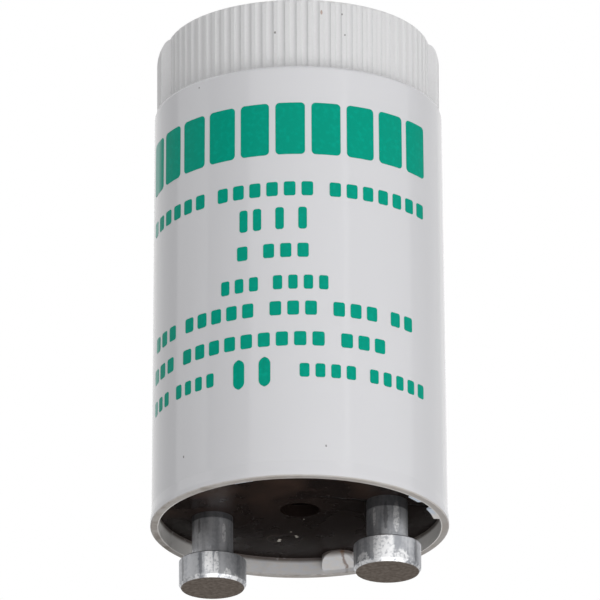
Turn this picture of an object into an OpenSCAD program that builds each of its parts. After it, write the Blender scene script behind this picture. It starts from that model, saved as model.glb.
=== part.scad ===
// Glow starter for a fluorescent lamp: a moulded canister with a ribbed grip, closed by a
// riveted disc that carries two contact pins, with a glow switch and a capacitor inside.
// The starter stands on its pin ends. X runs through both pins and Z is the canister's axis.

/* [Overall] */
// Height from the pin ends to the crown
overall_h = 40.3; // [38:0.1:44]

/* [Contact pins] */
// Distance between the axes of the two pins
pin_spacing = 12.7; // [12:0.1:13.4]
// Diameter of the head that turns under the socket's spring
head_d = 4.75; // [4.4:0.05:5]
// Diameter of the end face, inside the worn bevel
head_face_d = 4.44; // [4:0.02:4.4]
// Height of the head
head_h = 2.0; // [1.5:0.1:2.4]
// Height of the worn bevel round the end face
head_bevel_h = 0.26; // [0.1:0.02:0.5]
// Diameter of the neck between the head and the disc
neck_d = 2.9; // [2.5:0.05:3.2]
// Diameter of the shank that passes through the disc and the tag
shank_d = 2.0; // [1.6:0.1:2.4]
// Diameter of the peened end inside the canister
peen_d = 3.2; // [2.8:0.1:3.6]
// Height of the peened end
peen_h = 0.65; // [0.4:0.05:0.9]

/* [Canister] */
// Height of the rim above the pin ends
rim_z = 3.95; // [3.6:0.05:4.3]
// Outside diameter of the tube above its rim
tube_d = 20.86; // [20.6:0.02:21.2]
// How far the rim spreads past the tube
rim_spread = 0.09; // [0.02:0.01:0.3]
// Height over which the rim spreads
rim_h = 1.2; // [0.8:0.1:2]
// How much the mould's draft takes off the tube's radius up to the shoulder
draft = 0.24; // [0.05:0.01:0.4]
// Width of the round shoulder
shoulder_w = 0.25; // [0.1:0.05:0.6]
// Height over which the shoulder rounds off
shoulder_h = 0.3; // [0.1:0.05:0.8]
// Thickness of the tube's wall above the disc
wall_t = 1.2; // [1:0.05:1.5]
// Thickness of the wall round the disc, which sits in a seat
seat_wall_t = 0.47; // [0.35:0.01:0.6]
// Thickness of the crown
crown_t = 1.2; // [0.8:0.1:2]

/* [Grip] */
// Height of the grip above the shoulder
grip_h = 5.38; // [4:0.02:6.5]
// How far the grip stands back from the tube
grip_inset = 0.84; // [0.7:0.01:1.1]
// Number of ribs round the grip
rib_count = 72; // [36:1:72]
// Radius of the groove between two ribs
groove_r = 0.3; // [0.15:0.01:0.36]
// Depth of the groove
groove_depth = 0.16; // [0.08:0.01:0.2]
// Thickness of the grip's wall behind the grooves
grip_wall_t = 0.95; // [0.8:0.05:1.2]
// Radius of the crown's edge
crown_edge_r = 0.3; // [0.1:0.05:0.4]
// Angle of the two grip lugs, anticlockwise from the pin line seen from above
lug_angle = 18; // [0:1:90]
// How far the two lugs stand out from the grip
lug_reach = 0.67; // [0.4:0.01:0.7]
// Width of a lug
lug_w = 3.9; // [1.6:0.1:4.4]
// Radius of a lug's outer corners
lug_corner_r = 0.35; // [0.1:0.05:0.5]
// Height over which a lug's top rounds off
lug_top_h = 1.25; // [0.6:0.05:2]

/* [Base disc] */
// Thickness of the disc
disc_t = 0.9; // [0.8:0.1:1.8]
// Depth of the disc's face behind the rim
disc_recess = 1.3; // [1:0.05:1.6]
// Diameter of the hole in the middle of the disc
vent_d = 2.8; // [2:0.1:3.2]
// Gap between the disc's edge and the canister
disc_clearance = 0.03; // [0.01:0.01:0.1]

/* [Stakes] */
// Radius of the broad stake pressed over the disc's edge
stake_r = 1.25; // [0.8:0.05:1.6]
// How far that stake reaches over the disc
stake_reach = 1.35; // [0.6:0.05:1.8]
// Thickness of that stake at the wall
stake_t = 1.1; // [0.6:0.05:1.2]
// Thickness of that stake at its tip
stake_tip_t = 0.1; // [0.05:0.05:0.3]
// Angle of that stake from the right pin
stake_angle = 88; // [80:1:100]

/* [Terminal tags] */
// Thickness of the brass tag
tag_t = 0.4; // [0.3:0.05:0.6]
// Diameter of the tag's ring round the pin
tag_ring_d = 4.4; // [4:0.1:4.8]
// Width of the tag's arm
tag_arm_w = 2.2; // [2:0.1:2.6]
// Distance from the disc's centre to the solder point on the arm
tag_solder_x = 3.3; // [3:0.1:3.6]
// Diameter of the solder on the arm
solder_d = 2.1; // [2:0.05:2.2]
// Height of the solder
solder_h = 0.7; // [0.5:0.05:0.9]

/* [Glow switch] */
// Outside diameter of the glass bulb
bulb_d = 8.6; // [8:0.1:9]
// Thickness of the bulb's glass
glass_t = 0.55; // [0.4:0.05:0.7]
// Height of the bulb's open end above the pin ends
bulb_z = 11.0; // [10.5:0.1:12]
// Gap between the bulb's tip and the crown
bulb_top_gap = 5.9; // [3:0.1:8]
// Gap between the bulb and the capacitor
bulb_gap = 1.7; // [0.5:0.1:1.9]
// Radius of the tip where the bulb was sealed off
tip_r = 0.9; // [0.7:0.1:1.2]
// Height of the pinched glass stem inside the bulb
stem_h = 4.5; // [4:0.1:5.5]
// Diameter of the lead-in wires
lead_in_d = 0.6; // [0.5:0.05:0.7]
// Distance from the bulb's axis to each lead-in wire
lead_in_x = 1.3; // [1.2:0.05:1.4]
// Thickness of the bimetal strip
strip_t = 0.25; // [0.2:0.05:0.3]
// Width of the bimetal strip
strip_w = 2.0; // [1.6:0.1:2.4]
// Gap between the strip's bend and the bulb's dome
strip_top_gap = 3.0; // [2:0.5:4]
// Length of the strip's short leg, which makes the contact, as a share of its long leg
strip_short_share = 0.55; // [0.4:0.05:0.7]
// Outer radius of the strip's bend
strip_bend_r = 0.775; // [0.7:0.025:0.8]
// Diameter of the fixed electrode
electrode_d = 0.8; // [0.7:0.05:0.9]
// Gap between the end of the electrode and the strip's bend
electrode_gap = 0.5; // [0.3:0.1:2]

/* [Capacitor] */
// Width of the capacitor along the pin line
cap_w = 9.0; // [8:0.1:9.4]
// Thickness of the capacitor
cap_t = 4.2; // [3.6:0.1:4.2]
// Height of the capacitor
cap_h = 11.0; // [8:0.5:13]
// Radius of the capacitor's upright edges
cap_edge_r = 0.8; // [0.3:0.1:1.2]
// Height of the capacitor's underside above the pin ends
cap_z = 10.9; // [10.6:0.1:12]
// Gap between the capacitor's upright edges and the wall
cap_gap = 0.35; // [0.2:0.05:0.4]
// Half the distance between the capacitor's leads
cap_lead_x = 2.5; // [2:0.1:3]
// Diameter of the capacitor's leads
cap_lead_d = 0.5; // [0.4:0.05:0.6]
// Outside diameter of the sleeve on each lead
sleeve_d = 1.1; // [1:0.05:1.3]
// Length of the sleeve
sleeve_h = 1.9; // [1.5:0.1:2]
// Gap between the sleeve and its lead
sleeve_clearance = 0.06; // [0.04:0.01:0.1]

/* [Hidden] */
$fn = 96;

// Depth by which one shape runs into the next, so that no face is shared
lap = 0.2;
// Height above a face at which a groove or a bit of flash starts
lift = 0.02;
// Points on each rounded edge of a turned profile
arc_steps = 8;
// Bevel of the rim's outer edge and of the head's upper edge
small_bevel = 0.08;
// Share of the rim's height over which it stands upright
rim_upright = 0.35;
// Share of the peened end's height below its dome
peen_upright = 0.3;
// How much thicker a wire is where it was bent
bend_swell = 1.05;
// Heights over which the lead-in wires and the capacitor's leads stand upright on the tags
wire_foot_h = 1.2;
cap_lead_foot_h = 0.8;
// Heights over which they stand upright below the bulb and below the sleeves
wire_neck_h = 1;
cap_lead_neck_h = 0.4;
// Height of the glass plug that closes the bulb
plug_h = 1.2;
// Thickness of the pinched stem, and how far it reaches past each wire
pinch_t = 2;
pinch_side = 1.2;
// Heights above the stem at which the strip and the electrode start and the left wire ends
strip_foot_h = 0.5;
electrode_foot_h = 1.5;
strip_wire_h = 3;

disc_z = rim_z + disc_recess;
disc_top_z = disc_z + disc_t;
tag_top_z = disc_top_z + tag_t;
tube_r = tube_d / 2;
rim_r = tube_r + rim_spread;
seat_r = tube_r - seat_wall_t;
bore_r = tube_r - wall_t;
shoulder_r = tube_r - draft;
shoulder_bore_r = shoulder_r - wall_t;
shoulder_z = overall_h - grip_h;
grip_r = shoulder_r - grip_inset;
lug_r = grip_r + lug_reach;
lug_z = shoulder_z - shoulder_h;
groove_root_r = grip_r - groove_depth;
grip_bore_r = groove_root_r - grip_wall_t;
crown_z = overall_h - crown_t;
bulb_r = bulb_d / 2;
bulb_bore_r = bulb_r - glass_t;
bulb_dome_z = crown_z - bulb_top_gap - tip_r - bulb_r;
// The capacitor stands as far out as the wall lets it, rounded down to a tenth
cap_edge_y = sqrt(pow(shoulder_bore_r - cap_gap, 2) - pow(cap_w / 2, 2));
cap_y = floor(10 * (cap_edge_y - cap_t / 2)) / 10;
bulb_y = cap_t / 2 - cap_y + bulb_gap + bulb_r;
stem_top_z = bulb_z + stem_h;
strip_foot_z = stem_top_z + strip_foot_h;
strip_bend_z = bulb_dome_z - strip_top_gap;
strip_long_h = strip_bend_z - strip_foot_z;
electrode_z = stem_top_z + electrode_foot_h;
wire_foot_y = solder_d / 4;
strip_out_x = lead_in_x - lead_in_d / 2;

// Moulding flash left on the rim's inner edge: angle from the right pin, span and reach
flashes = [[-99, 8, 0.25], [-46, 4, 0.2], [-19, 7, 0.4], [0, 12, 0.45]];
flash_h = 0.5;

// Points on an elliptical arc about (cx, cy), from angle a0 to a1
function arc(cx, cy, rx, ry, a0, a1) =
    [for (i = [0 : arc_steps])
        let (a = a0 + (a1 - a0) * i / arc_steps)
        [cx + rx * cos(a), cy + ry * sin(a)]];

// Outside of the canister without its lugs, as radius and height
canister_outline = concat(
    [[0, rim_z],
     [rim_r - small_bevel, rim_z],
     [rim_r, rim_z + small_bevel],
     [rim_r, rim_z + rim_h * rim_upright],
     [tube_r, rim_z + rim_h],
     [shoulder_r, shoulder_z - shoulder_h]],
    arc(shoulder_r - shoulder_w, shoulder_z - shoulder_h, shoulder_w, shoulder_h, 0, 90),
    [[grip_r, shoulder_z]],
    arc(grip_r - crown_edge_r, overall_h - crown_edge_r, crown_edge_r, crown_edge_r, 0, 90),
    [[0, overall_h]]);

// Room inside the canister: the disc's seat, the tube and the narrower grip
canister_room = [
    [0, rim_z - lap],
    [seat_r, rim_z - lap],
    [seat_r, disc_top_z],
    [bore_r, disc_top_z],
    [shoulder_bore_r, shoulder_z - shoulder_h - wall_t],
    [grip_bore_r, shoulder_z],
    [grip_bore_r, crown_z],
    [0, crown_z]];

// Groove between two ribs, open at the crown as the mould draws that way
module groove(angle) {
    rotate([0, 0, angle])
    translate([groove_root_r + groove_r, 0, shoulder_z + lift])
    cylinder(r = groove_r, h = grip_h + lap, $fn = 32);
}

// The grooves between the ribs, left out where a lug stands
module grooves() {
    lug_clear = asin((lug_w / 2 + groove_r) / grip_r);
    for (i = [0 : rib_count - 1]) {
        angle = (i + 0.5) * 360 / rib_count;
        from_lug = abs((angle - lug_angle + 90) % 180 - 90);
        if (from_lug > lug_clear)
            groove(angle);
    }
}

// Turned body of a lug, whose top rounds off towards its outer edge
module lug_turning() {
    root_r = groove_root_r - lap;
    top_r = grip_r - small_bevel;
    rotate_extrude()
    polygon(concat(
        [[root_r, lug_z], [lug_r, lug_z]],
        arc(top_r, overall_h - crown_edge_r - lug_top_h, lug_r - top_r, lug_top_h, 0, 90),
        [[root_r, overall_h - crown_edge_r]]));
}

module lug_plan() {
    base_z = lug_z - lap;
    h = overall_h - base_z;
    outer = lug_r + lap;
    corner_x = lug_r - lug_corner_r;
    corner_y = lug_w / 2 - lug_corner_r;
    translate([0, -lug_w / 2, base_z])
    cube([corner_x, lug_w, h]);
    translate([0, -corner_y, base_z])
    cube([outer, 2 * corner_y, h]);
    for (side = [-1, 1])
        translate([corner_x, side * corner_y, base_z])
        cylinder(r = lug_corner_r, h = h, $fn = 32);
}

module lug(angle) {
    rotate([0, 0, angle])
    intersection() {
        lug_turning();
        lug_plan();
    }
}

// Broad stake: a tongue of the wall pressed over the disc's edge while hot, thin at its tip
module stake() {
    inner_r = seat_r - stake_reach;
    intersection() {
        rotate([0, 0, stake_angle])
        translate([inner_r + stake_r, 0, rim_z])
        cylinder(r = stake_r, h = disc_top_z - rim_z, $fn = 64);
        rotate_extrude()
        polygon([
            [inner_r, disc_z - stake_tip_t],
            [seat_r + lap, disc_z - stake_t],
            [seat_r + lap, disc_z],
            [inner_r, disc_z]]);
    }
}

module flash(angle, span, reach) {
    rotate([0, 0, angle - span / 2])
    rotate_extrude(angle = span)
    polygon([
        [seat_r + lap, rim_z + lift],
        [seat_r - reach, rim_z + small_bevel],
        [seat_r - reach, rim_z + 2 * small_bevel],
        [seat_r + lap, rim_z + flash_h]]);
}

module canister() {
    color("#e9e9ea") {
        difference() {
            union() {
                rotate_extrude()
                polygon(canister_outline);
                for (turn = [0, 180])
                    lug(lug_angle + turn);
            }
            rotate_extrude()
            polygon(canister_room);
            grooves();
        }
        stake();
        for (f = flashes)
            flash(f[0], f[1], f[2]);
    }
}

module base_disc() {
    color("#17120f")
    difference() {
        translate([0, 0, disc_z])
        cylinder(r = seat_r - disc_clearance, h = disc_t);
        translate([0, 0, disc_z - lap])
        cylinder(d = vent_d, h = disc_t + 2 * lap, $fn = 48);
        for (side = [-1, 1])
            translate([side * pin_spacing / 2, 0, disc_z - lap])
            cylinder(d = shank_d, h = disc_t + 2 * lap, $fn = 48);
    }
}

// Turned pin: worn bevel, head, neck, shank and peened end
module contact_pin(side) {
    color("#8d9097")
    translate([side * pin_spacing / 2, 0, 0])
    rotate_extrude($fn = 64)
    polygon(concat(
        [[0, 0],
         [head_face_d / 2, 0],
         [head_d / 2, head_bevel_h],
         [head_d / 2, head_h - small_bevel],
         [head_d / 2 - small_bevel, head_h],
         [neck_d / 2, head_h],
         [neck_d / 2, disc_z],
         [shank_d / 2, disc_z],
         [shank_d / 2, tag_top_z],
         [peen_d / 2, tag_top_z]],
        arc(0, tag_top_z + peen_h * peen_upright, peen_d / 2, peen_h * (1 - peen_upright), 0, 90)));
}

module contact_pin_left() {
    contact_pin(-1);
}

module contact_pin_right() {
    contact_pin(1);
}

module terminal_tag(side) {
    color("#b8934a")
    difference() {
        translate([0, 0, disc_top_z])
        union() {
            translate([side * pin_spacing / 2, 0, 0])
            cylinder(d = tag_ring_d, h = tag_t, $fn = 64);
            translate([side * tag_solder_x, 0, 0])
            cylinder(d = tag_arm_w, h = tag_t, $fn = 48);
            translate([side * (tag_solder_x + pin_spacing / 2) / 2, 0, tag_t / 2])
            cube([pin_spacing / 2 - tag_solder_x, tag_arm_w, tag_t], center = true);
        }
        translate([side * pin_spacing / 2, 0, disc_top_z - lap])
        cylinder(d = shank_d, h = tag_t + 2 * lap, $fn = 48);
    }
}

module terminal_tag_left() {
    terminal_tag(-1);
}

module terminal_tag_right() {
    terminal_tag(1);
}

// Straight round bar from point a to point b
module bar(a, b, d) {
    v = b - a;
    translate(a)
    rotate([0, acos(v[2] / norm(v)), atan2(v[1], v[0])])
    cylinder(d = d, h = norm(v), $fn = 24);
}

// Bent wire along a list of points, a little swollen where it bends
module wire(points, d) {
    for (i = [0 : len(points) - 2])
        bar(points[i], points[i + 1], d);
    for (i = [1 : len(points) - 2])
        translate(points[i])
        sphere(d = d * bend_swell, $fn = 24);
}

module lead_in_wire_shape(side, top_z) {
    wire([[side * tag_solder_x, wire_foot_y, tag_top_z],
          [side * tag_solder_x, wire_foot_y, tag_top_z + wire_foot_h],
          [side * lead_in_x, bulb_y, bulb_z - wire_neck_h],
          [side * lead_in_x, bulb_y, top_z]], lead_in_d);
}

module capacitor_lead_shape(side) {
    wire([[side * tag_solder_x, -wire_foot_y, tag_top_z],
          [side * tag_solder_x, -wire_foot_y, tag_top_z + cap_lead_foot_h],
          [side * cap_lead_x, -cap_y, cap_z - sleeve_h - cap_lead_neck_h],
          [side * cap_lead_x, -cap_y, cap_z]], cap_lead_d);
}

// Cap of solder over the feet of both wires
module solder(side) {
    ball_r = (pow(solder_d / 2, 2) + pow(solder_h, 2)) / (2 * solder_h);
    color("#a9abad")
    difference() {
        intersection() {
            translate([side * tag_solder_x, 0, tag_top_z + solder_h - ball_r])
            sphere(r = ball_r, $fn = 64);
            translate([side * tag_solder_x, 0, tag_top_z])
            cylinder(d = solder_d + lap, h = solder_h + lap, $fn = 64);
        }
        lead_in_wire_shape(side, bulb_z);
        capacitor_lead_shape(side);
    }
}

module solder_left() {
    solder(-1);
}

module solder_right() {
    solder(1);
}

// Glass envelope: a tube with a domed end and the tip where it was sealed off
module glow_bulb() {
    tip_z = bulb_dome_z + bulb_r;
    color("#cfd8d8")
    translate([0, bulb_y, 0])
    difference() {
        union() {
            rotate_extrude()
            polygon(concat([[0, bulb_z], [bulb_r, bulb_z]],
                arc(0, bulb_dome_z, bulb_r, bulb_r, 0, 90)));
            translate([0, 0, tip_z - lap])
            cylinder(r1 = tip_r, r2 = tip_r / 2, h = tip_r + lap, $fn = 48);
        }
        rotate_extrude()
        polygon(concat([[0, bulb_z - lap], [bulb_bore_r, bulb_z - lap]],
            arc(0, bulb_dome_z, bulb_bore_r, bulb_bore_r, 0, 90)));
    }
}

// Glass stem: a plug that closes the tube, with a flat pinch round the two wires
module bulb_stem() {
    pinch_w = 2 * (lead_in_x + pinch_side);
    color("#bcc7c9")
    translate([0, bulb_y, bulb_z])
    difference() {
        union() {
            cylinder(r = bulb_bore_r, h = plug_h);
            translate([-pinch_w / 2, -pinch_t / 2, 0])
            cube([pinch_w, pinch_t, stem_h]);
        }
        for (side = [-1, 1])
            translate([side * lead_in_x, 0, -lap])
            cylinder(d = lead_in_d, h = stem_h + 2 * lap, $fn = 24);
    }
}

module lead_in_wire_left() {
    color("#8a6a4f")
    lead_in_wire_shape(-1, stem_top_z + strip_wire_h);
}

module lead_in_wire_right() {
    color("#8a6a4f")
    lead_in_wire_shape(1, electrode_z);
}

// U-shaped strip: its long leg lies against the left wire, its short leg faces the electrode
module bimetal_strip() {
    short_h = strip_long_h * strip_short_share;
    bend_x = strip_bend_r - strip_out_x;
    color("#9c8f7d")
    translate([0, bulb_y, 0]) {
        translate([-strip_out_x, -strip_w / 2, strip_foot_z])
        cube([strip_t, strip_w, strip_long_h]);
        translate([2 * strip_bend_r - strip_out_x - strip_t, -strip_w / 2, strip_bend_z - short_h])
        cube([strip_t, strip_w, short_h]);
        translate([bend_x, 0, strip_bend_z])
        intersection() {
            rotate([90, 0, 0])
            difference() {
                cylinder(r = strip_bend_r, h = strip_w, center = true, $fn = 48);
                cylinder(r = strip_bend_r - strip_t, h = strip_w + lap, center = true, $fn = 48);
            }
            translate([-strip_bend_r - lap, -strip_w, 0])
            cube([2 * (strip_bend_r + lap), 2 * strip_w, strip_bend_r + lap]);
        }
    }
}

module fixed_electrode() {
    color("#9a9da0")
    translate([lead_in_x, bulb_y, electrode_z])
    cylinder(d = electrode_d, h = strip_bend_z - electrode_gap - electrode_z, $fn = 48);
}

module capacitor() {
    inner_w = cap_w - 2 * cap_edge_r;
    inner_t = cap_t - 2 * cap_edge_r;
    color("#8c3b24")
    translate([0, -cap_y, cap_z]) {
        translate([-cap_w / 2, -inner_t / 2, 0])
        cube([cap_w, inner_t, cap_h]);
        translate([-inner_w / 2, -cap_t / 2, 0])
        cube([inner_w, cap_t, cap_h]);
        for (x = [-1, 1], y = [-1, 1])
            translate([x * inner_w / 2, y * inner_t / 2, 0])
            cylinder(r = cap_edge_r, h = cap_h, $fn = 48);
    }
}

module capacitor_lead_left() {
    color("#b4b5b6")
    capacitor_lead_shape(-1);
}

module capacitor_lead_right() {
    color("#b4b5b6")
    capacitor_lead_shape(1);
}

module lead_sleeve(side) {
    color("#d8d2bd")
    translate([side * cap_lead_x, -cap_y, cap_z - sleeve_h])
    difference() {
        cylinder(d = sleeve_d, h = sleeve_h, $fn = 32);
        translate([0, 0, -lap])
        cylinder(d = cap_lead_d + 2 * sleeve_clearance, h = sleeve_h + 2 * lap, $fn = 32);
    }
}

module lead_sleeve_left() {
    lead_sleeve(-1);
}

module lead_sleeve_right() {
    lead_sleeve(1);
}

canister();
base_disc();
contact_pin_left();
contact_pin_right();
terminal_tag_left();
terminal_tag_right();
solder_left();
solder_right();
glow_bulb();
bulb_stem();
lead_in_wire_left();
lead_in_wire_right();
bimetal_strip();
fixed_electrode();
capacitor();
capacitor_lead_left();
capacitor_lead_right();
lead_sleeve_left();
lead_sleeve_right();
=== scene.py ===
"""Looks of the fluorescent starter: plastic, ink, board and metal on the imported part, in a studio.

Objects are in metres in the part's own frame: X runs through both pins, Z is the canister's axis,
and the pins' end faces stand at z = 0. Sizes, marks and patterns are written in millimetres.
"""

import logging
import math
from dataclasses import dataclass
from enum import Enum

import bpy
import numpy as np
from mathutils import Matrix, Vector


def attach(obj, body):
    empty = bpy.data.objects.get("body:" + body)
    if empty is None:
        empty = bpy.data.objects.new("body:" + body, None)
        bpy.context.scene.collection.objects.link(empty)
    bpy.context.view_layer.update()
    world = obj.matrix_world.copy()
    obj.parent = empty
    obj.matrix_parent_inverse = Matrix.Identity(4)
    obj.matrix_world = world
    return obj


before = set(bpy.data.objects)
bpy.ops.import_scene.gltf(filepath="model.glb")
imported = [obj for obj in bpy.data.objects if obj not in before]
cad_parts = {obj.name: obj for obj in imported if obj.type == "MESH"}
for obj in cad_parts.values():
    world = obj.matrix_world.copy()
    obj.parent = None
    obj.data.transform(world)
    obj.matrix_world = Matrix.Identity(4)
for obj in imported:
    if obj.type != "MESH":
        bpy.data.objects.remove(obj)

MM = 0.001
LOG = logging.getLogger("starter")
Socket = bpy.types.NodeSocket
Value = Socket | float
Paint = Socket | str
Mark = tuple[float, float, float, float]


def linear(code: str) -> tuple[float, float, float, float]:
    """Turns an sRGB hex colour into linear light.

    Args:
        code: six hex digits with a leading hash sign.

    Returns:
        Red, green, blue and an alpha of 1, in linear light.
    """
    parts = [int(code[i : i + 2], 16) / 255 for i in (1, 3, 5)]
    red, green, blue = (c / 12.92 if c <= 0.04045 else ((c + 0.055) / 1.055) ** 2.4 for c in parts)
    return red, green, blue, 1.0


def towards(azimuth: float, elevation: float) -> Vector:
    """The direction from the part to a place in the studio.

    Args:
        azimuth: degrees from the -Y side towards +X.
        elevation: degrees above the horizon.

    Returns:
        A vector of length 1.
    """
    a, e = math.radians(azimuth), math.radians(elevation)
    return Vector((math.sin(a) * math.cos(e), -math.cos(a) * math.cos(e), math.sin(e)))


def add_node(
    tree: bpy.types.NodeTree, kind: str, inputs: dict | None = None, **settings: object
) -> bpy.types.Node:
    """Adds one node with its settings and links.

    Args:
        tree: the node tree that takes it.
        kind: the node's type name without its ShaderNode prefix.
        inputs: names or numbers of inputs, each with the socket to link or the constant to set.
        settings: the node's properties and their values.

    Returns:
        The new node.
    """
    node = tree.nodes.new("ShaderNode" + kind)
    for name, value in settings.items():
        setattr(node, name, value)
    for name, value in (inputs or {}).items():
        if isinstance(value, Socket):
            tree.links.new(value, node.inputs[name])
        else:
            node.inputs[name].default_value = value
    return node


def put_mesh(name: str, points: np.ndarray, faces: np.ndarray) -> bpy.types.Object:
    """Makes an object from whole arrays of points and quads.

    Args:
        name: the object's name.
        points: one point a row, in metres.
        faces: one quad a row, as numbers of points.

    Returns:
        The new object, at the origin, unturned and unscaled.
    """
    mesh = bpy.data.meshes.new(name)
    mesh.from_pydata(points.tolist(), [], faces.tolist())
    mesh.update()
    obj = bpy.data.objects.new(name, mesh)
    bpy.context.scene.collection.objects.link(obj)
    return obj


def dress(obj: bpy.types.Object, material: bpy.types.Material) -> None:
    """Gives an object one material on every face.

    Args:
        obj: the object, whose mesh stays as it is.
        material: the material for all of its slots.
    """
    if not obj.data.materials:
        obj.data.materials.append(material)
    for index in range(len(obj.data.materials)):
        obj.data.materials[index] = material


@dataclass
class Pattern:
    """Places and marks inside one material, from Object coordinates in millimetres."""

    tree: bpy.types.NodeTree

    def __post_init__(self) -> None:
        """Reads the coordinates once, so that every mask can share them."""
        metres = {0: add_node(self.tree, "TexCoord").outputs["Object"], "Scale": 1 / MM}
        self.place = add_node(self.tree, "VectorMath", metres, operation="SCALE").outputs[0]
        self.x, self.y, self.z = add_node(self.tree, "SeparateXYZ", {0: self.place}).outputs

    def zone(self, *limits: tuple[Socket, float, float]) -> Socket:
        """Where all limits are passed: the product of one smooth step for each.

        Args:
            limits: a value, where its step starts, and where it is full, which may be smaller.

        Returns:
            A socket from 0 to 1.
        """
        result: Value = 1.0
        for value, start, full in limits:
            up = start < full
            ends = {0: value, 1: min(start, full), 2: max(start, full), 3: 1.0 - up, 4: float(up)}
            step = add_node(self.tree, "MapRange", ends, interpolation_type="SMOOTHSTEP")
            both = {0: result, 1: step.outputs[0]}
            result = add_node(self.tree, "Math", both, operation="MULTIPLY").outputs[0]
        return result

    def coat(self, under: Paint, over: Paint, *masks: Value) -> Socket:
        """Lays one colour over another, as thick as the product of the masks.

        Args:
            under: the colour below, as a socket or an sRGB hex code.
            over: the colour on top.
            masks: sockets or numbers from 0 to 1.

        Returns:
            The colour that shows.
        """
        cover: Value = 1.0
        for mask in masks:
            both = {0: cover, 1: mask}
            cover = add_node(self.tree, "Math", both, operation="MULTIPLY").outputs[0]
        below, above = (linear(p) if isinstance(p, str) else p for p in (under, over))
        inputs = {0: cover, 6: below, 7: above}
        return add_node(self.tree, "Mix", inputs, data_type="RGBA").outputs[2]

    def level(self, base: Value, *terms: tuple[Value, Value]) -> Socket:
        """Adds up a level from a base and from masks, each times its amount.

        Args:
            base: the level where every mask is 0.
            terms: a mask and its amount.

        Returns:
            The level's socket.
        """
        for mask, amount in terms:
            inputs = {0: mask, 1: amount, 2: base}
            base = add_node(self.tree, "Math", inputs, operation="MULTIPLY_ADD").outputs[0]
        return base

    def radius(self) -> Socket:
        """Distance from the canister's axis: the length of the place without its height.

        Returns:
            A socket in millimetres.
        """
        across = {0: self.place, 1: (1.0, 1.0, 0.0)}
        flat = add_node(self.tree, "VectorMath", across, operation="MULTIPLY").outputs[0]
        return add_node(self.tree, "VectorMath", {0: flat}, operation="LENGTH").outputs["Value"]

    def grain(self, size: float, detail: float = 3.0, up: float = 1.0, seed: float = 0.0) -> Socket:
        """Cloudy noise of a real size.

        Args:
            size: how large one cloud is.
            detail: the noise's octaves.
            up: how much finer the clouds are along Z than across.
            seed: shifts the clouds.

        Returns:
            A socket from 0 to 1, about 0.5 on average.
        """
        scale = (1 / size, 1 / size, up / size)
        inputs = {"Vector": self.place, "Location": (seed,) * 3, "Scale": scale}
        moved = add_node(self.tree, "Mapping", inputs).outputs[0]
        inputs = {"Vector": moved, "Scale": 1.0, "Detail": detail}
        return add_node(self.tree, "TexNoise", inputs).outputs["Fac"]

    def spots(
        self, marks: tuple[Mark, ...], ragged: float, size: float, tall: float = 1.0
    ) -> Socket:
        """Marks of given places and sizes with ragged edges.

        Args:
            marks: x, y, z and radius of each.
            ragged: how far the edges wander, as a share of the radius.
            size: the size of the wandering.
            tall: how much taller than wide the marks are.

        Returns:
            A socket that is 1 inside a mark and 0 outside.
        """
        squeezed = {0: self.place, 1: (1.0, 1.0, 1.0 / tall)}
        place = add_node(self.tree, "VectorMath", squeezed, operation="MULTIPLY").outputs[0]
        nearest: Value = 10.0
        for x, y, z, radius in marks:
            ends = {0: place, 1: (x, y, z / tall)}
            away = add_node(self.tree, "VectorMath", ends, operation="DISTANCE").outputs["Value"]
            share = add_node(self.tree, "Math", {0: away, 1: radius}, operation="DIVIDE").outputs[0]
            both = {0: nearest, 1: share}
            nearest = add_node(self.tree, "Math", both, operation="MINIMUM").outputs[0]
        wander = self.level(-ragged, (self.grain(size, 2.0), 2 * ragged))
        return self.zone((self.level(nearest, (nearest, wander)), 1.15, 0.8))


@dataclass(frozen=True)
class Finish:
    """One finish, named for what the real material is."""

    name: str

    def sockets(self, p: Pattern) -> dict[str, object]:
        """What each of the shader's sockets gets; every finish has its own.

        Args:
            p: the pattern maker of this material's tree.

        Returns:
            Names of sockets with what they get.
        """
        raise NotImplementedError

    def build(self) -> bpy.types.Material:
        """Makes the material: one Principled shader with this finish's sockets.

        Returns:
            The material.
        """
        material = bpy.data.materials.new(self.name)
        material.use_nodes = True
        tree = material.node_tree
        tree.nodes.clear()
        shader = add_node(tree, "BsdfPrincipled", self.sockets(Pattern(tree)))
        add_node(tree, "OutputMaterial", {"Surface": shader.outputs[0]})
        return material


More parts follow.
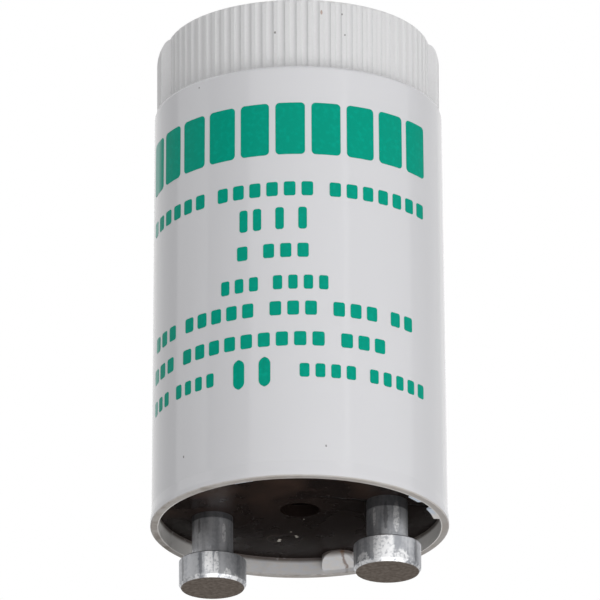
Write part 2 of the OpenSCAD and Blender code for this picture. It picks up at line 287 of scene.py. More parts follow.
@dataclass(frozen=True)
class MouldedPlastic(Finish):
    """White moulded thermoplastic, glossy and faintly wavy on the tube, matte and gritty above.

    The tube mirrors the lamps with sharp edges and the grip only glows. The rim that was pressed
    over the disc is dull, with brown dirt on its end face and a dark line along the disc. The
    grip's grit is drawn as coarse as it needs to show.
    """

    name: str = "moulded_white_thermoplastic"
    tube: str = "#D9D9DC"
    grip: str = "#E0E0E1"
    shade: str = "#8E8984"
    dirt: str = "#B8B0A7"
    soot: str = "#7C7067"
    scuff: str = "#DAD6D3"
    # painted light: the pale colour laid on the seat's two sides to brighten them
    pale_layer: str = "#F6F3EF"
    brown: str = "#3E2B1E"
    rust: str = "#96643F"
    dust: str = "#4E4A46"
    torn: str = "#DDE6F2"
    crack: str = "#6E5039"
    shoulder_z: float = 34.92
    rim_z: float = 3.95
    disc_z: float = 5.25
    seat_r: float = 9.96
    dirt_size: float = 1.1
    grit_size: float = 0.14
    wave_size: float = 7.0
    wave_depth: float = 0.02
    grit_depth: float = 0.014
    gloss_roughness: float = 0.085
    ior: float = 1.5
    crack_x: float = 0.85
    crack_half_w: float = 0.16
    crack_wander: float = 0.5
    rust_marks: tuple[Mark, ...] = (
        (-2.7, -8.95, 36.57, 0.08),
        (-2.02, -9.13, 38.6, 0.06),
        (3.93, -8.48, 39.3, 0.08),
    )
    dark_marks: tuple[Mark, ...] = (
        (0.76, -9.32, 37.77, 0.07),
        (0.46, -9.34, 36.24, 0.05),
        (5.25, -7.74, 39.3, 0.06),
        (6.21, -6.99, 36.77, 0.05),
        (5.42, -7.62, 37.75, 0.05),
        (-7.9, -5.8, 36.3, 0.08),
        (10.0, 0.25, 38.6, 0.07),
        (4.37, -9.42, 6.24, 0.07),
        (-4.89, -8.95, 34.3, 0.05),
        (-6.2, -8.35, 6.85, 0.07),
        (-9.55, -3.2, 4.3, 0.08),
    )

    def split(self, p: Pattern, radius: Socket) -> Socket:
        """The stake's crack: an upright line that noise moves to and fro.

        Args:
            p: the pattern maker of this material's tree.
            radius: the distance from the canister's axis.

        Returns:
            A socket that is 1 in the crack.
        """
        across = p.level(p.x, (p.grain(0.5, seed=4.0), self.crack_wander))
        middle, half_w = self.crack_x + self.crack_wander / 2, self.crack_half_w
        line = p.zone(
            (across, middle - half_w, middle - 0.03),
            (across, middle + half_w, middle + 0.03),
        )
        return p.level(0.0, (line, p.zone((p.y, 8.2, 8.4), (radius, 10.0, 9.9), (p.z, 5.3, 5.2))))

    def sockets(self, p: Pattern) -> dict[str, object]:
        """Colour, roughness and relief of tube, grip, seat and rim.

        Args:
            p: the pattern maker of this material's tree.

        Returns:
            Names of sockets with what they get.
        """
        radius = p.radius()
        on_grip = p.zone((p.z, self.shoulder_z - 0.02, self.shoulder_z + 0.05))
        seat = p.zone(
            (radius, self.seat_r + 0.1, self.seat_r + 0.02),
            (p.z, self.disc_z + 0.4, self.disc_z),
        )
        end_face = p.zone((p.z, self.rim_z + 0.14, self.rim_z + 0.01))
        clouds, grit = p.grain(self.dirt_size, 4.0), p.grain(self.grit_size, seed=3.0)
        colour = p.coat(self.tube, self.shade, p.grain(6.0, 2.0, seed=7.0), 0.05)
        colour = p.coat(colour, p.coat(self.grip, self.shade, grit, 0.12), on_grip)
        # dirt covers the whole end face and is darkest on its left
        cover = p.level(0.65, (p.zone((clouds, 0.3, 0.7)), 0.25))
        colour = p.coat(colour, self.dirt, end_face, cover)
        darkest = p.zone((p.x, 6.0, -9.0), (clouds, 0.45, 0.7))
        colour = p.coat(colour, self.soot, end_face, darkest, 0.5)
        # the seat is scuffed all round, and painted light makes its two sides pale
        scuffed = p.zone((p.grain(0.5, 4.0, 2.5, 5.0), 0.3, 0.72))
        colour = p.coat(colour, self.scuff, seat, scuffed)
        sides = add_node(p.tree, "Math", {0: p.x}, operation="ABSOLUTE").outputs[0]
        colour = p.coat(colour, self.pale_layer, seat, p.zone((sides, 5.0, 8.0)), 0.9)
        # a dark brown line is painted along the disc's edge, darkest next to the disc, with brown
        # smudges on the left
        along = p.grain(0.7, 4.0, seed=8.0)
        line = p.zone((p.z, self.disc_z - 0.42, self.disc_z - 0.12), (along, 0.2, 0.42))
        colour = p.coat(colour, self.brown, seat, line, 0.85)
        smudges = p.zone((p.x, -3.0, -8.0), (clouds, 0.48, 0.66))
        colour = p.coat(colour, self.brown, seat, smudges, 0.25)
        colour = p.coat(colour, self.crack, self.split(p, radius), 0.7)
        # the bits of the wall over the disc's edge are torn, bluish white
        torn = p.zone(
            (radius, self.seat_r - 0.02, self.seat_r - 0.08),
            (p.z, self.rim_z + 0.65, self.rim_z + 0.5),
            (p.y, 0.5, -0.5),
        )
        colour = p.coat(colour, self.torn, torn)
        colour = p.coat(colour, self.rust, p.spots(self.rust_marks, 0.4, 0.08, 2.2), 0.6)
        colour = p.coat(colour, self.dust, p.spots(self.dark_marks, 0.5, 0.06, 1.4), 0.75)
        waves = {"Height": p.grain(self.wave_size, 1.0, 0.4, 2.0), "Distance": self.wave_depth * MM}
        wavy = add_node(p.tree, "Bump", waves).outputs[0]
        rough = p.level(0.0, (grit, p.level(on_grip, (seat, 1.5))))
        tooth = {"Height": rough, "Distance": self.grit_depth * MM, "Normal": wavy}
        duller = (on_grip, 0.42), (seat, 0.36), (end_face, 0.36), (grit, 0.03)
        return {
            "Base Color": colour,
            "Roughness": p.level(self.gloss_roughness, *duller),
            "Normal": add_node(p.tree, "Bump", tooth).outputs[0],
            "IOR": self.ior,
        }


@dataclass(frozen=True)
class PadInk(Finish):
    """Green pad-printing ink: a thin, mottled film with a dull shine, rubbed pale at one end."""

    name: str = "pad_printing_ink"
    green: str = "#009A82"
    thin: str = "#00A58C"
    pale_layer: str = "#A3D3CA"
    roughness: float = 0.32
    specular: float = 0.05

    def sockets(self, p: Pattern) -> dict[str, object]:
        """Mottled green with a faintly uneven shine, worn at the left end of its rows.

        Args:
            p: the pattern maker of this material's tree.

        Returns:
            Names of sockets with what they get.
        """
        colour = p.coat(self.green, self.thin, p.zone((p.grain(0.35), 0.45, 0.8)))
        left_end = p.zone((p.y, -5.9, -4.9), (p.x, 0.0, -5.0))
        return {
            "Base Color": p.coat(colour, self.pale_layer, left_end, 0.8),
            "Roughness": p.level(self.roughness, (p.grain(0.2, 2.0), 0.15)),
            "Specular IOR Level": self.specular,
        }


@dataclass(frozen=True)
class PhenolicBoard(Finish):
    """Black phenolic board: a smooth resin face with dust, brownish clouds, chips and a crack."""

    name: str = "phenolic_board"
    black: str = "#1B1513"
    brown: str = "#3D2F28"
    dust: str = "#5A5049"
    chip: str = "#C4BEB4"
    crack: str = "#040303"
    face_z: float = 5.25
    cloud_size: float = 3.0
    dust_size: float = 0.1
    relief_depth: float = 0.02
    roughness: float = 0.24
    specular: float = 0.05
    ior: float = 1.5
    ring_x: float = -3.0
    ring_y: float = 5.3
    ring_r: float = 0.75
    ring_half_w: float = 0.09
    crack_y: float = -3.15
    crack_slope: float = 0.52
    crack_half_w: float = 0.22
    crack_wander: float = 1.6
    chips: tuple[Mark, ...] = (
        (-3.02, 5.76, 5.25, 0.13),
        (-2.9, 5.5, 5.25, 0.11),
        (-1.58, 5.3, 5.25, 0.1),
        (-1.6, 5.05, 5.25, 0.09),
        (-1.73, 4.19, 5.25, 0.07),
        (-0.19, 1.9, 5.25, 0.05),
    )

    def sockets(self, p: Pattern) -> dict[str, object]:
        """Clouds, dust, a ring that a tool left, chips, and a crack that wanders about a line.

        Args:
            p: the pattern maker of this material's tree.

        Returns:
            Names of sockets with what they get.
        """
        clouds = p.grain(self.cloud_size, 4.0)
        colour = p.coat(self.black, self.brown, p.zone((clouds, 0.35, 0.7), (p.y, 4.0, -8.0)))
        dusty = p.zone((p.grain(self.dust_size, 2.0, seed=4.0), 0.66, 0.76))
        colour = p.coat(colour, self.dust, dusty, 0.45)
        ends = {0: p.place, 1: (self.ring_x, self.ring_y, self.face_z)}
        away = add_node(p.tree, "VectorMath", ends, operation="DISTANCE").outputs["Value"]
        ring = p.zone(
            (away, self.ring_r - self.ring_half_w, self.ring_r),
            (away, self.ring_r + self.ring_half_w, self.ring_r),
        )
        colour = p.coat(colour, self.dust, ring, p.zone((clouds, 0.4, 0.6)), 0.6)
        colour = p.coat(colour, self.chip, p.spots(self.chips, 0.6, 0.08))
        # how far a place is behind the crack's line, which noise moves to and fro
        wander = (p.grain(1.6, seed=9.0), self.crack_wander)
        behind = p.level(p.y, (p.x, -self.crack_slope), wander)
        middle, half_w = self.crack_y + self.crack_wander / 2, self.crack_half_w
        crack = p.zone(
            (behind, middle - half_w, middle - 0.06),
            (behind, middle + half_w, middle + 0.06),
            (p.x, 1.6, 2.4),
        )
        colour = p.coat(colour, self.crack, crack)
        height = p.level(0.0, (p.grain(0.7, seed=1.0), 0.3), (crack, -1.0))
        relief = {"Height": height, "Distance": self.relief_depth * MM}
        return {
            "Base Color": colour,
            "Roughness": p.level(self.roughness, (p.zone((clouds, 0.3, 0.8)), 0.14)),
            "Specular IOR Level": self.specular,
            "Normal": add_node(p.tree, "Bump", relief).outputs[0],
            "IOR": self.ior,
        }


@dataclass(frozen=True)
class TurnedAluminium(Finish):
    """Turned and tarnished aluminium: upright streaks of painted highlight, fine turning marks, a
    worn bevel that is also painted bright as a highlight.

    The end face is covered with dry brown dirt, so little of the metal shows there.
    """

    name: str = "turned_aluminium"
    seed: float = 0.0
    metal: str = "#C4C5C8"
    dull: str = "#9D9FA4"
    wear_and_highlight: str = "#F1F1F2"
    end: str = "#6A5F56"
    end_light: str = "#8A8077"
    # a dark colour for the real stains, which also paints the shade on the neck's top near the disc
    stain_and_shade: str = "#37363A"
    bevel_z: float = 0.26
    head_z: float = 2.0
    shade_z: float = 4.75
    mottle_size: float = 0.22
    turning_pitch: float = 0.11
    relief_depth: float = 0.014
    metallic: float = 0.85
    roughness: float = 0.28
    wear_and_glint_spots: tuple[Mark, ...] = ()
    stains: tuple[Mark, ...] = ()
    highlight_streaks: tuple[Mark, ...] = ()

    def sockets(self, p: Pattern) -> dict[str, object]:
        """Metal with painted highlight streaks, a dark band at the neck's foot, painted shade at the
        neck's top, wear and painted highlights on the bevel and worn spots, stains, and dirt on the
        end face.

        Args:
            p: the pattern maker of this material's tree.

        Returns:
            Names of sockets with what they get.
        """
        mottle = p.grain(self.mottle_size, 4.0, seed=2.0)
        tone = p.level(0.0, (mottle, 0.3), (p.grain(0.5, 3.0, 0.12, self.seed), 0.7))
        colour = p.coat(self.metal, self.dull, p.zone((tone, 0.38, 0.64)))
        foot = p.zone(
            (p.z, self.head_z, self.head_z + 0.1),
            (p.z, self.head_z + 0.4, self.head_z + 0.1),
        )
        colour = p.coat(colour, self.stain_and_shade, foot, 0.8)
        # painted highlights: bright upright streaks on the front of the pin, in place of the lamps'
        # reflections
        painted_streaks = p.spots(self.highlight_streaks, 0.3, 0.2, 5.0)
        colour = p.coat(colour, self.wear_and_highlight, painted_streaks, p.zone((mottle, 0.3, 0.55)))
        # painted shade: the neck's top is darkened near the disc, standing in for the dark disc that
        # it mirrors
        shaded = p.zone((p.z, self.shade_z, self.shade_z + 0.12))
        colour = p.coat(colour, self.stain_and_shade, shaded, 0.7)
        # the bevel is worn bright, and is also painted bright all round as a highlight
        bevel_wear_and_highlight = p.zone((p.z, self.bevel_z + 0.05, self.bevel_z - 0.04), (mottle, 0.55, 0.42))
        colour = p.coat(colour, self.wear_and_highlight, bevel_wear_and_highlight, 0.6)
        # worn spots on the front of the head: wear that is also painted white as glints
        polish_and_glint = p.spots(self.wear_and_glint_spots, 0.8, 0.25)
        colour = p.coat(colour, self.wear_and_highlight, polish_and_glint, p.zone((mottle, 0.75, 0.4)))
        colour = p.coat(colour, self.stain_and_shade, p.spots(self.stains, 0.6, 0.3, 6.0), 0.45)
        dirt = p.coat(self.end, self.end_light, p.zone((p.grain(0.3, 4.0, seed=6.0), 0.3, 0.75)))
        face = p.zone((p.z, 0.03, 0.004))
        # turning leaves a ring at each step of the tool, drawn as coarse as it needs to show
        turns = p.level(0.0, (p.z, 2 * math.pi / self.turning_pitch))
        around = add_node(p.tree, "Math", {0: turns}, operation="SINE").outputs[0]
        height = p.level(0.0, (around, 0.08), (mottle, 0.7))
        relief = {"Height": height, "Distance": self.relief_depth * MM}
        return {
            "Base Color": p.coat(colour, dirt, face),
            "Metallic": p.level(self.metallic, (face, -0.6)),
            "Roughness": p.level(self.roughness, (mottle, 0.2), (face, 0.22), (polish_and_glint, 0.08)),
            "Normal": add_node(p.tree, "Bump", relief).outputs[0],
        }


class Sheen(Enum):
    """How a piece inside the canister reflects."""

    METAL = 1.0
    PLAIN = 0.0


@dataclass(frozen=True)
class InnerFinish(Finish):
    """A mottled finish for a piece inside the canister: clouds in its colour, shine and surface."""

    name: str = "inner"
    main: str = "#808080"
    second: str = "#606060"
    sheen: Sheen = Sheen.PLAIN
    roughness: float = 0.35
    size: float = 0.4
    up: float = 1.0
    relief_depth: float = 0.01

    def sockets(self, p: Pattern) -> dict[str, object]:
        """One cloud for colour, roughness and relief.

        Args:
            p: the pattern maker of this material's tree.

        Returns:
            Names of sockets with what they get.
        """
        cloud = p.grain(self.size, up=self.up)
        relief = {"Height": cloud, "Distance": self.relief_depth * MM}
        return {
            "Base Color": p.coat(self.main, self.second, p.zone((cloud, 0.35, 0.7))),
            "Metallic": self.sheen.value,
            "Roughness": p.level(self.roughness - 0.1, (cloud, 0.2)),
            "Normal": add_node(p.tree, "Bump", relief).outputs[0],
        }


@dataclass(frozen=True)
class DrawnGlass(Finish):
    """Clear drawn glass with a faint grey film inside, as a glow switch leaves it."""

    name: str = "drawn_glass"
    tint: str = "#E6EEEE"
    film: str = "#B9C2C2"
    ior: float = 1.5
    clear: float = 0.9

    def sockets(self, p: Pattern) -> dict[str, object]:
        """Clear glass that a film dulls in clouds.

        Args:
            p: the pattern maker of this material's tree.

        Returns:
            Names of sockets with what they get.
        """
        cloud = p.grain(2.0, 2.0, 0.4)
        return {
            "Base Color": p.coat(self.tint, self.film, p.zone((cloud, 0.4, 0.8))),
            "Roughness": p.level(0.0, (p.zone((cloud, 0.5, 0.9)), 0.12)),
            "IOR": self.ior,
            "Transmission Weight": self.clear,
        }


@dataclass(frozen=True)
class PrintLine:
    """One row of the print: words of equal blocks between two heights and two angles in degrees."""

    name: str
    low: float
    high: float
    left: float
    right: float
    words: tuple[int, ...]
    gap: float = 0.42
    cover: float = 0.66
    corner: float = 0.16


@dataclass
class Print:
    """Rows of plain green blocks on the tube, as thin closed films that follow its cone.

    A block's outline is a rectangle with round corners. Along each side the grid crosses one
    corner, then the straight stretch, then the other corner, and the corners' squares are squeezed
    onto a disc.
    """

    ink: PadInk = PadInk()
    foot_z: float = 5.15
    foot_r: float = 10.43
    top_z: float = 34.62
    top_r: float = 10.19
    film: float = 0.014
    root: float = 0.03
    word_space: float = 0.6
    corner_steps: int = 3
    across_steps: int = 4
    up_steps: int = 2
    lines: tuple[PrintLine, ...] = (
        PrintLine("print_title", 28.15, 32.05, -157.0, -14.4, (10,), 0.46, 1.0, 0.3),
        PrintLine("print_line_2", 24.75, 26.35, -156.0, -15.6, (6, 6, 7)),
        PrintLine("print_line_3", 22.5, 24.15, -100.3, -71.0, (2, 1, 1), 0.4, 1.0, 0.2),
        PrintLine("print_line_4", 20.1, 21.7, -101.4, -70.3, (1, 3)),
        PrintLine("print_line_5", 17.7, 19.3, -108.4, -62.6, (3, 4)),
        PrintLine("print_line_6", 15.75, 17.35, -152.0, -24.1, (3, 5, 3, 3, 2)),
        PrintLine("print_line_7", 13.45, 15.05, -154.0, -38.6, (3, 9, 3)),
        PrintLine("print_line_8", 11.1, 12.65, -154.0, -109.5, (3, 4)),
        PrintLine("print_line_9", 11.1, 12.65, -76.4, -17.1, (4, 5)),
        PrintLine("print_marks", 10.75, 12.95, -102.8, -85.6, (1, 1), 0.35, 1.0, 0.5),
    )

    def tube_radius(self, z: np.ndarray) -> np.ndarray:
        """Radius of the tube's cone at a height: straight between its foot and its top.

        Args:
            z: heights.

        Returns:
            A radius for each height.
        """
        share = np.clip((z - self.foot_z) / (self.top_z - self.foot_z), 0, 1)
        return self.foot_r + (self.top_r - self.foot_r) * share

    def side(self, steps: int) -> tuple[np.ndarray, np.ndarray]:
        """Where the grid's lines stand along one side of a block.

        The place in a corner goes from -1 to 0 over the first one, stays 0 on the stretch and goes
        from 0 to 1 over the last one. The place on the stretch goes from -1 to 1 there only.

        Args:
            steps: the number of steps in the straight stretch.

        Returns:
            Each line's place in its corner, and its place along the straight stretch.
        """
        k = self.corner_steps
        first, last = np.linspace(-1, 0, k + 1), np.linspace(0, 1, k + 1)
        corner = np.concatenate([first, np.zeros(steps - 1), last])
        stretch = np.concatenate([-np.ones(k), np.linspace(-1, 1, steps + 1), np.ones(k)])
        return corner, stretch

    def block(
        self, angle: float, z: float, half_w: float, half_h: float, corner: float
    ) -> tuple[np.ndarray, np.ndarray]:
        """One closed film, bent round the cone.

        A point is its place on the stretch times the half size of that stretch, plus its place on
        the corner's disc times the corner's radius.

        Args:
            angle: the middle's angle round the tube, in degrees.
            z: the middle's height.
            half_w: half the width along the tube's round.
            half_h: half the height.
            corner: the corners' radius.

        Returns:
            Its points in metres and its quads.
        """
        (p, u), (q, v) = self.side(self.across_steps), self.side(self.up_steps)
        (p, q), (u, v) = np.meshgrid(p, q), np.meshgrid(u, v)
        across = u * (half_w - corner) + corner * p * np.sqrt(1 - q**2 / 2)
        height = z + v * (half_h - corner) + corner * q * np.sqrt(1 - p**2 / 2)
        base = self.tube_radius(height)
        turn = np.radians(angle) + across / base
        rise = np.array([self.film, -self.root])[:, None, None]
        x, y = (base + rise) * np.cos(turn), (base + rise) * np.sin(turn)
        points = np.stack([x, y, np.broadcast_to(height, x.shape)], -1).reshape(-1, 3) * MM
        grid = np.arange(p.size).reshape(p.shape)
        top = np.stack([grid[:-1, :-1], grid[:-1, 1:], grid[1:, 1:], grid[1:, :-1]], -1)
        top = top.reshape(-1, 4)
        edge = np.concatenate([grid[0, :-1], grid[:-1, -1], grid[-1, :0:-1], grid[:0:-1, 0]])
        after = np.roll(edge, -1)
        wall = np.stack([edge, edge + p.size, after + p.size, after], -1)
        return points, np.concatenate([top, top[:, ::-1] + p.size, wall])

    def row_blocks(self, line: PrintLine) -> list[tuple[float, float, float, float, float]]:
        """Places of a row's blocks, with a part of an empty cell between two words.

        Args:
            line: the row.

        Returns:
            Angle, height, half width, half height and corner of each block.
        """
        cells = sum(line.words) + self.word_space * (len(line.words) - 1)
        middle = (line.low + line.high) / 2
        radius = float(self.tube_radius(np.array(middle)))
        pitch = math.radians(line.right - line.left) * radius / cells
        starts = [sum(line.words[:i]) + self.word_space * i for i in range(len(line.words))]
        offsets = np.concatenate([start + np.arange(n) for start, n in zip(starts, line.words)])
        angles = line.left + np.degrees((offsets + 0.5) * pitch / radius)
        half_w, half_h = (pitch - line.gap) / 2, (line.high - line.low) / 2 * line.cover
        return [(angle, middle, half_w, half_h, line.corner) for angle in angles]

    def build(self) -> None:
        """Builds one object for each row, in ink."""
        ink = self.ink.build()
        for line in self.lines:
            films = [self.block(*place) for place in self.row_blocks(line)]
            starts = np.cumsum([0] + [len(points) for points, _ in films[:-1]])
            points = np.concatenate([points for points, _ in films])
            faces = np.concatenate([faces + start for (_, faces), start in zip(films, starts)])
            obj = put_mesh(line.name, points, faces)
            dress(obj, ink)
            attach(obj, "root")
        LOG.info("print: %d rows of green blocks", len(self.lines))


@dataclass
class Canister:
    """The canister of moulded plastic."""

    finish: MouldedPlastic = MouldedPlastic()

    def build(self) -> None:
        """Dresses the canister's node."""
        dress(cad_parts["canister"], self.finish.build())
        LOG.info("canister: moulded plastic")


@dataclass
class Base:
    """The disc and the two pins, each pin with its own wear, stains, painted highlights and painted
    shade.
    """

    board: PhenolicBoard = PhenolicBoard()
    # each pin's worn spots are wear with painted glints on them, and its streaks are painted
    # highlights
    left: TurnedAluminium = TurnedAluminium(
        name="turned_aluminium_left",
        seed=-6.35,
        wear_and_glint_spots=(
            (-4.75, -1.75, 0.34, 0.32),
            (-4.3, -1.2, 0.1, 0.3),
            (-5.6, -2.3, 0.15, 0.3),
            (-6.9, -2.3, 0.12, 0.2),
        ),
        stains=((-6.6, -2.4, 1.1, 0.16), (-7.0, -1.34, 4.3, 0.12), (-8.1, -1.6, 1.2, 0.16)),
        highlight_streaks=((-5.26, -0.95, 3.7, 0.16), (-5.5, -2.2, 1.0, 0.2), (-6.0, -2.35, 1.1, 0.3)),
    )
    right: TurnedAluminium = TurnedAluminium(
        name="turned_aluminium_right",
        seed=6.35,
        shade_z=4.4,
        wear_and_glint_spots=((5.0, -1.95, 0.45, 0.5), (5.5, -2.2, 0.2, 0.3), (7.9, -1.8, 0.4, 0.5)),
        stains=((6.6, -1.42, 3.8, 0.16), (8.6, -0.75, 1.2, 0.16)),
        highlight_streaks=(
            (7.3, -1.1, 3.7, 0.24),
            (5.75, -1.31, 3.7, 0.14),
            (6.9, -2.31, 1.1, 0.5),
            (6.2, -2.37, 1.1, 0.3),
        ),
    )

    def build(self) -> None:
        """Dresses the disc's node and the pins' nodes."""
        dress(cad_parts["base_disc"], self.board.build())
        dress(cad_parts["contact_pin_left"], self.left.build())
        dress(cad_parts["contact_pin_right"], self.right.build())
        LOG.info("base: phenolic disc and two aluminium pins")


@dataclass
class GlowSwitch:
    """What the canister holds: tags, solder, bulb, electrodes, capacitor, leads and sleeves."""

    finishes: tuple[tuple[Finish, tuple[str, ...]], ...] = (
        # stamped brass: a warm yellow shine that is cloudy where it was handled
        (
            InnerFinish("stamped_brass", "#B89A55", "#8F7439", Sheen.METAL, 0.35, 0.8),
            ("terminal_tag_left", "terminal_tag_right"),
        ),
        # tin solder: a grey, frosted shine
        (
            InnerFinish("tin_solder", "#A9ABAD", "#85888B", Sheen.METAL, 0.45, 0.5),
            ("solder_left", "solder_right"),
        ),
        # wire with a copper sheath: reddish brown, dulled by the heat of sealing
        (
            InnerFinish("copper_sheathed_wire", "#A0674A", "#6E4634", Sheen.METAL, 0.4, 0.5),
            ("lead_in_wire_left", "lead_in_wire_right"),
        ),
        # rolled bimetal: a brownish grey with long rolling marks
        (
            InnerFinish("rolled_bimetal", "#A39C90", "#7E776B", Sheen.METAL, 0.35, 0.6, 0.2),
            ("bimetal_strip",),
        ),
        # drawn nickel: a clear grey shine with long drawing marks
        (
            InnerFinish("drawn_nickel", "#A5A6A6", "#868786", Sheen.METAL, 0.3, 0.5, 0.15),
            ("fixed_electrode",),
        ),
        # dipped epoxy: a thick reddish brown coat, smooth and a little shiny
        (
            InnerFinish("dipped_epoxy", "#8C3B24", "#71301E", Sheen.PLAIN, 0.3, 1.5),
            ("capacitor",),
        ),
        # tinned copper: a bright grey wire with duller patches
        (
            InnerFinish("tinned_copper", "#B6B7B8", "#949596", Sheen.METAL, 0.35, 0.4),
            ("capacitor_lead_left", "capacitor_lead_right"),
        ),
        # extruded sleeve: a yellowish, matte plastic
        (
            InnerFinish("extruded_sleeve", "#D6CFB8", "#BDB59B", Sheen.PLAIN, 0.5, 0.6),
            ("lead_sleeve_left", "lead_sleeve_right"),
        ),
        (DrawnGlass(), ("glow_bulb", "bulb_stem")),
    )

    def build(self) -> None:
        """Dresses the nodes inside the canister."""
        for finish, names in self.finishes:
            material = finish.build()
            for name in names:
                dress(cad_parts[name], material)
        LOG.info("glow switch: %d finishes", len(self.finishes))


@dataclass(frozen=True)
class SoftBox:
    """A soft lamp that faces the starter from a direction in degrees, with its sizes in metres."""

    name: str
    azimuth: float
    elevation: float
    distance: float
    width: float
    height: float
    radiance: float
    mirrored: bool = True

    def build(self, target: Vector) -> None:
        """Puts the lamp in place; its power is its radiance times its area times pi.

        Args:
            target: the point that it faces, in metres.
        """
        lamp = bpy.data.lights.new(self.name, "AREA")
        lamp.shape = "RECTANGLE"
        lamp.size, lamp.size_y = self.width, self.height
        lamp.energy = self.radiance * self.width * self.height * math.pi
        obj = bpy.data.objects.new(self.name, lamp)
        bpy.context.scene.collection.objects.link(obj)
        obj.visible_glossy = self.mirrored
        away = towards(self.azimuth, self.elevation)
        turn = away.to_track_quat("Z", "Y").to_matrix().to_4x4()
        obj.matrix_world = Matrix.Translation(target + away * self.distance) @ turn


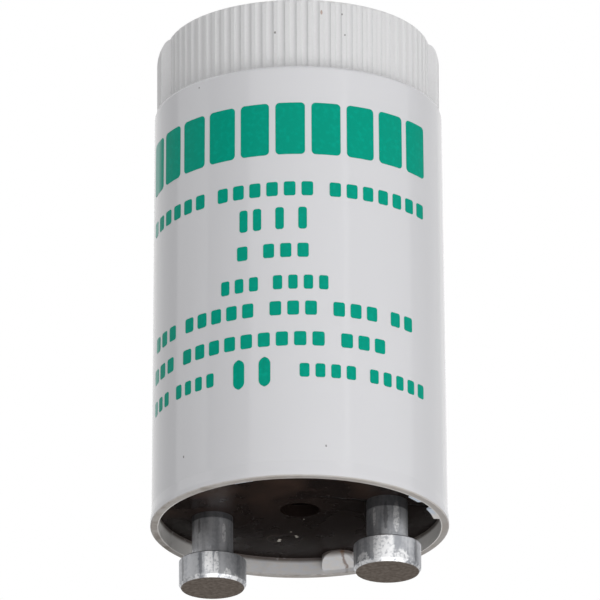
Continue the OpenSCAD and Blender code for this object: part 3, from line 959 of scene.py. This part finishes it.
@dataclass
class Studio:
    """Camera, lamps, surroundings and a pale floor, with distances in metres.

    The picture was taken from below the part, so the camera stands lower than the floor, whose
    underside lets sight and light through.
    """

    target: tuple[float, float, float] = (0.000076, 0.000028, 0.021079)
    azimuth: float = 14.594
    elevation: float = -20.983
    distance: float = 1.07103
    roll: float = 0.223
    lens: float = 908.38
    sensor: float = 36.0
    near: float = 0.05
    far: float = 20.0
    ambient: float = 0.33
    dim: float = 0.5
    backdrop: float = 1.0
    flag: float = 0.03
    floor_radius: float = 3.0
    floor_z: float = -0.0004
    floor_rings: int = 24
    floor_turns: int = 96
    boxes: tuple[SoftBox, ...] = (
        SoftBox("front_box", 15.0, 21.0, 0.60, 0.89, 0.50, 0.80),
        SoftBox("right_box", 82.0, 18.0, 0.70, 0.80, 0.60, 0.56),
        SoftBox("low_box", 28.0, -42.0, 0.60, 0.60, 0.40, 1.80),
        SoftBox("back_box", 200.0, 50.0, 0.80, 0.80, 0.60, 2.20, mirrored=False),
        SoftBox("left_box", -80.0, 40.0, 0.80, 0.50, 0.60, 0.55),
        SoftBox("low_side_box", 70.0, -30.0, 0.60, 0.40, 0.40, 1.30),
        SoftBox("top_box", 10.0, 72.0, 0.70, 0.60, 0.50, 0.30),
    )

    def add_camera(self) -> None:
        """Puts the camera where the photograph was taken from."""
        data = bpy.data.cameras.new("camera")
        data.sensor_width = self.sensor
        data.lens = self.lens
        data.clip_start, data.clip_end = self.near, self.far
        camera = bpy.data.objects.new("camera", data)
        bpy.context.scene.collection.objects.link(camera)
        away = towards(self.azimuth, self.elevation)
        right = Vector((0, 0, 1)).cross(away).normalized()
        turn = Matrix((right, away.cross(right), away)).transposed().to_4x4()
        turn = turn @ Matrix.Rotation(math.radians(-self.roll), 4, "Z")
        camera.matrix_world = Matrix.Translation(Vector(self.target) + away * self.distance) @ turn
        bpy.context.scene.camera = camera

    def add_world(self) -> None:
        """Soft light from everywhere, and plain white to the camera.

        Reflections see a dim room with a white backdrop behind the starter, and a black flag low in
        front of that backdrop, which is what the disc mirrors.
        """
        world = bpy.data.worlds.new("studio")
        bpy.context.scene.world = world
        world.use_nodes = True
        tree = world.node_tree
        tree.nodes.clear()
        way = add_node(tree, "TexCoord").outputs["Generated"]
        behind = self.azimuth + 180
        level = self.dim
        for centre, start, full, strength in (
            (towards(behind, 15), 0.45, 0.95, self.backdrop),
            (towards(behind, self.elevation - 4), 0.80, 0.90, self.flag),
        ):
            both = {0: way, 1: centre}
            facing = add_node(tree, "VectorMath", both, operation="DOT_PRODUCT").outputs["Value"]
            ends = {0: facing, 1: start, 2: full}
            inside = add_node(tree, "MapRange", ends, interpolation_type="SMOOTHSTEP").outputs[0]
            level = add_node(tree, "Mix", {0: inside, 2: level, 3: strength}).outputs[0]
        path = add_node(tree, "LightPath").outputs
        both = {0: path["Is Glossy Ray"], 1: path["Is Transmission Ray"]}
        mirrored = add_node(tree, "Math", both, operation="MAXIMUM").outputs[0]
        level = add_node(tree, "Mix", {0: mirrored, 2: self.ambient, 3: level}).outputs[0]
        level = add_node(tree, "Mix", {0: path["Is Camera Ray"], 2: level, 3: 1.0}).outputs[0]
        sky = add_node(tree, "Background", {"Color": (1, 1, 1, 1), "Strength": level})
        add_node(tree, "OutputWorld", {"Surface": sky.outputs[0]})

    def add_floor(self) -> None:
        """A round pale floor: rings of points whose radius grows as the square of their number."""
        rings, turns = self.floor_rings, self.floor_turns
        radius = self.floor_radius * (np.arange(1, rings + 1) / rings) ** 2
        angle = np.linspace(0, 2 * np.pi, turns, endpoint=False)
        circle = np.stack([np.cos(angle), np.sin(angle), np.zeros(turns)], -1)
        points = (radius[:, None, None] * circle).reshape(-1, 3)
        points = np.concatenate([points, np.zeros((1, 3))]) + np.array([0, 0, self.floor_z])
        grid = np.arange(rings * turns).reshape(rings, turns)
        after = np.roll(grid, -1, axis=1)
        quads = np.stack([grid[:-1], grid[1:], after[1:], after[:-1]], -1).reshape(-1, 4)
        pairs = grid[0].reshape(-1, 2)
        hub = np.full(turns // 2, len(points) - 1)
        middle = np.stack([pairs[:, 0], pairs[:, 1], np.roll(pairs[:, 0], -1), hub], -1)
        floor = put_mesh("floor", points, np.concatenate([quads, middle]))
        dress(floor, self.paper())

    def paper(self) -> bpy.types.Material:
        """Pale matte paper that keeps the object's shadow; the camera alone sees it, from above.

        Returns:
            The floor's material.
        """
        material = bpy.data.materials.new("pale_paper_floor")
        material.use_nodes = True
        tree = material.node_tree
        tree.nodes.clear()
        p = Pattern(tree)
        fibres = p.coat("#F4F4F4", "#F0F0F0", p.zone((p.grain(2.0, 4.0), 0.3, 0.7)))
        matte = add_node(tree, "BsdfDiffuse", {"Color": fibres}).outputs[0]
        clear = add_node(tree, "BsdfTransparent").outputs[0]
        seen = {0: 1.0, 1: add_node(tree, "LightPath").outputs["Is Camera Ray"]}
        unseen = add_node(tree, "Math", seen, operation="SUBTRACT").outputs[0]
        either = {0: unseen, 1: add_node(tree, "NewGeometry").outputs["Backfacing"]}
        through = add_node(tree, "Math", either, operation="MAXIMUM").outputs[0]
        mixed = add_node(tree, "MixShader", {0: through, 1: matte, 2: clear}).outputs[0]
        add_node(tree, "OutputMaterial", {"Surface": mixed})
        return material

    def build(self) -> None:
        """Builds the camera, the surroundings, the floor and the lamps."""
        self.add_camera()
        self.add_world()
        self.add_floor()
        for box in self.boxes:
            box.build(Vector(self.target))
        bpy.context.scene.view_settings.view_transform = "Standard"
        LOG.info("studio: %d lamps", len(self.boxes))


def main() -> None:
    """Builds the studio and the sub-assemblies in order."""
    logging.basicConfig(level=logging.INFO, format="%(name)s: %(message)s")
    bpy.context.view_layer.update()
    for assembly in (Studio(), Canister(), Print(), Base(), GlowSwitch()):
        assembly.build()
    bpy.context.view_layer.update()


if __name__ == "__main__":
    main()
